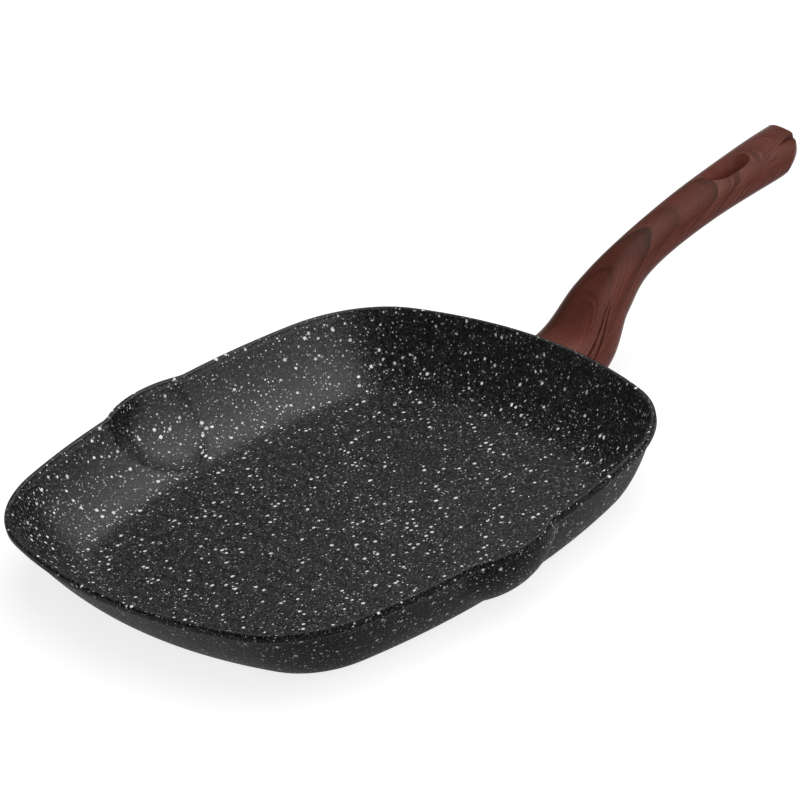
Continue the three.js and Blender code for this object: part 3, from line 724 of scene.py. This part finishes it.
for aside, start in TAIL_CRACKS:
    path = []
    for x in np.linspace(TAIL_CRACKS_FROM + start, TAIL_CRACKS_TO + start / 2, 9):
        y = TAIL_CRACKS_ASIDE + aside + TAIL_CRACKS_SLANT * (x - TAIL_CRACKS_FROM)
        path.append((x, y + TAIL_CRACKS_WAVER * math.sin(0.9 * x + aside)))
    cut_or_join(grip, [crack(path, width=0.55, depth=0.4)], "DIFFERENCE")
for path in ROOT_CRACKS:
    cut_or_join(grip, [crack(path, width=1.5, depth=1.3, opening=0.55)], "DIFFERENCE")
smoothed(grip, sharp_deg=38)

# The printed grain: arches that point to the tail, drawn out along the flanks, where the print fades; on the
# right shoulder near the root it fades too, as a painted highlight in the flanks' brighter colour
POINTED_ARCH, BLUNT_ARCH = (216, 0.12), (250, 0.03)
ARCH_ASIDE, ARCH_LEGS, FLANK_DRIFT = -3.0, 0.0002, 2.2
FLANK_FADE, FLANK_TOP, FLANK_SOFT = 0.7, 5, 6
SHOULDER_HIGHLIGHT_SHARE, SHOULDER_Y, SHOULDER_SOFT = 0.6, -6, 6
SHOULDER_END, SHOULDER_RUN = 212, 20
line = np.array([station(s)[:2] for s in np.linspace(0, 1, 400)]) + (PAN_HALF_SIDE, PAN_HEIGHT)
grain_along = grip.data.attributes.new("grain_along", "FLOAT", "POINT")
print_fade_and_painted_highlight = grip.data.attributes.new("print_fade_and_painted_highlight", "FLOAT", "POINT")
for point, value, fade_and_highlight in zip(grip.data.vertices, grain_along.data, print_fade_and_painted_highlight.data):
    x, y, z = point.co / MM
    drop = max(0.0, np.interp(x, line[:, 0], line[:, 1]) + FLANK_TOP - z)
    curve = np.interp(x, (POINTED_ARCH[0], BLUNT_ARCH[0]), (POINTED_ARCH[1], BLUNT_ARCH[1]))
    aside = y - ARCH_ASIDE
    value.value = (x + curve * aside**2 + ARCH_LEGS * aside**4 + FLANK_DRIFT * drop) * MM
    # Painted highlight: the print gives way to the brighter flank colour on the right shoulder, fading out
    # towards the waist
    shoulder_highlight = SHOULDER_HIGHLIGHT_SHARE * np.clip((SHOULDER_Y - y) / SHOULDER_SOFT, 0, 1)
    shoulder_highlight = shoulder_highlight * np.clip((SHOULDER_END - x) / SHOULDER_RUN, 0, 1)
    fade_and_highlight.value = FLANK_FADE * max(min(1.0, drop / FLANK_SOFT), shoulder_highlight)

# The slot's walls are bare moulding, brighter than the print
slot_wall = grip.data.attributes.new("slot_wall", "FLOAT", "FACE")
for face, value in zip(grip.data.polygons, slot_wall.data):
    x, y, _ = face.center / MM
    past_middle = max(0.0, abs(x - SLOT_X) - (SLOT_LENGTH - SLOT_WIDTH) / 2)
    in_slot = math.hypot(past_middle, y) < SLOT_WIDTH / 2 + SLOT_FLARE
    value.value = float(in_slot and abs(face.normal.z) < 0.9)

# Tones of the print from the wall (0) to the tail (1)
PRINT_START, PRINT_END = 0.14, 0.34
PRINT = (
    (0.000, (0.145, 0.043, 0.032)),
    (0.150, (0.108, 0.031, 0.023)),
    (0.218, (0.089, 0.025, 0.018)),
    (0.229, (0.051, 0.016, 0.011)),
    (0.240, (0.087, 0.025, 0.018)),
    (0.310, (0.083, 0.024, 0.017)),
    (0.352, (0.070, 0.023, 0.016)),
    (0.374, (0.040, 0.019, 0.013)),
    (0.384, (0.117, 0.039, 0.028)),
    (0.430, (0.104, 0.031, 0.022)),
    (0.470, (0.078, 0.024, 0.017)),
    (0.482, (0.119, 0.036, 0.027)),
    (0.540, (0.106, 0.031, 0.022)),
    (0.582, (0.091, 0.027, 0.019)),
    (0.597, (0.047, 0.015, 0.010)),
    (0.606, (0.159, 0.057, 0.043)),
    (0.640, (0.112, 0.033, 0.024)),
    (0.676, (0.074, 0.021, 0.015)),
    (0.688, (0.140, 0.045, 0.034)),
    (0.750, (0.106, 0.031, 0.022)),
    (0.800, (0.134, 0.039, 0.030)),
    (0.860, (0.104, 0.030, 0.021)),
    (1.000, (0.129, 0.037, 0.028)),
)
place = node(wood_tree, "ShaderNodeTexCoord").outputs["Object"]


def drawn_out(scale):
    """A place stretched along the handle."""
    return node(wood_tree, "ShaderNodeMapping", {"Vector": place, "Scale": scale}).outputs[0]


def painted(name):
    """A value that the handle's mesh carries."""
    return node(wood_tree, "ShaderNodeAttribute", attribute_name=name).outputs["Fac"]


sway = spread(wood_tree, noise(wood_tree, drawn_out((14.0, 60.0, 60.0)), 1.0, 1.5), start=-0.006, end=0.006)
swayed = calc(wood_tree, "ADD", painted("grain_along"), sway)
bands = node(wood_tree, "ShaderNodeValToRGB", {"Fac": spread(wood_tree, swayed, PRINT_START, PRINT_END)})
stops = bands.color_ramp.elements
stops.remove(stops[1])
stops[0].position, stops[0].color = PRINT[0][0], (*PRINT[0][1], 1)
for at, tone in PRINT[1:]:
    stops.new(at).color = (*tone, 1)
lines = {"W": swayed, "Scale": 420.0, "Detail": 3.0, "Roughness": 0.7}
lines = node(wood_tree, "ShaderNodeTexNoise", lines, noise_dimensions="1D").outputs["Fac"]
patches = spread(wood_tree, noise(wood_tree, place, 70.0, 1.0), 0.42, 0.6)

# Streaked flanks, dark and pale lines in patches, fine pores, and the bare walls of the slot
streaks = spread(wood_tree, lines, 0.36, 0.62)
flank = over(wood_tree, (0.120, 0.033, 0.025, 1), streaks, (0.270, 0.078, 0.060, 1))
# The flank colour shows where the print fades on the flanks, and as a painted highlight on the right shoulder
# near the root
colour = over(wood_tree, bands.outputs["Color"], painted("print_fade_and_painted_highlight"), flank)
dark = calc(wood_tree, "MULTIPLY", spread(wood_tree, lines, 0.5, 0.3, end=0.5), patches)
colour = over(wood_tree, colour, dark, (0.045, 0.014, 0.010, 1))
pale = calc(wood_tree, "MULTIPLY", spread(wood_tree, lines, 0.52, 0.66, end=0.5), patches)
pale = calc(wood_tree, "MULTIPLY", pale, spread(wood_tree, swayed, 0.225, 0.27))
colour = over(wood_tree, colour, pale, (0.230, 0.085, 0.062, 1))
pores = noise(wood_tree, drawn_out((90.0, 1500.0, 1500.0)), 1.0, 2.0)
pores = spread(wood_tree, pores, 0.52, 0.72, end=0.45)
colour = over(wood_tree, colour, pores, (0.035, 0.012, 0.009, 1))
bare = calc(wood_tree, "MULTIPLY", painted("slot_wall"), 0.8)
colour = over(wood_tree, colour, bare, (0.125, 0.033, 0.025, 1))
height = calc(wood_tree, "SUBTRACT", lines, pores)
bump = node(wood_tree, "ShaderNodeBump", {"Strength": 0.12, "Distance": 0.0002, "Height": height})
printed = {
    "Base Color": colour,
    "Roughness": spread(wood_tree, lines, start=0.27, end=0.36),
    "Specular IOR Level": 0.09,
    "Normal": bump.outputs[0],
}
surface(wood_tree, printed)
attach(grip, "root")
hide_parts("handle")

# Screw and washers
# A zinc-plated steel screw runs up from the handle's underside into the lug. A flat washer spreads its
# load on the handle, and a split spring washer under the head keeps it tight.
FIXING_FINISHES = {
    "handle_screw": ("zinc_plate", (0.62, 0.63, 0.65, 1), (0.36, 0.37, 0.40, 1)),
    "flat_washer": ("washer_plate", (0.55, 0.55, 0.56, 1), (0.30, 0.30, 0.31, 1)),
    "spring_washer": ("spring_steel", (0.26, 0.26, 0.28, 1), (0.12, 0.12, 0.13, 1)),
}
tarnish, given = new_group(
    "plate_tarnish",
    {"Bright": "Color", "Dull": "Color"},
    {"Color": "Color", "Roughness": "Float", "Height": "Float"},
)
patch = noise(tarnish, node(tarnish, "ShaderNodeTexCoord").outputs["Object"], 420.0, 4.0)
tone = over(tarnish, given["Bright"], patch, given["Dull"])
rough = spread(tarnish, patch, start=0.22, end=0.5)
node(tarnish, "NodeGroupOutput", {"Color": tone, "Roughness": rough, "Height": patch})
for piece, (finish, bright, dull) in FIXING_FINISHES.items():
    material, tree = new_material(finish)
    plate = use_group(tree, tarnish, Bright=bright, Dull=dull)
    bump = node(tree, "ShaderNodeBump", {"Strength": 0.1, "Distance": 0.0001, "Height": plate["Height"]})
    plated = {
        "Base Color": plate["Color"],
        "Metallic": 1.0,
        "Roughness": plate["Roughness"],
        "Normal": bump.outputs[0],
    }
    surface(tree, plated)
    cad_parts[piece].data.materials.clear()
    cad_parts[piece].data.materials.append(material)
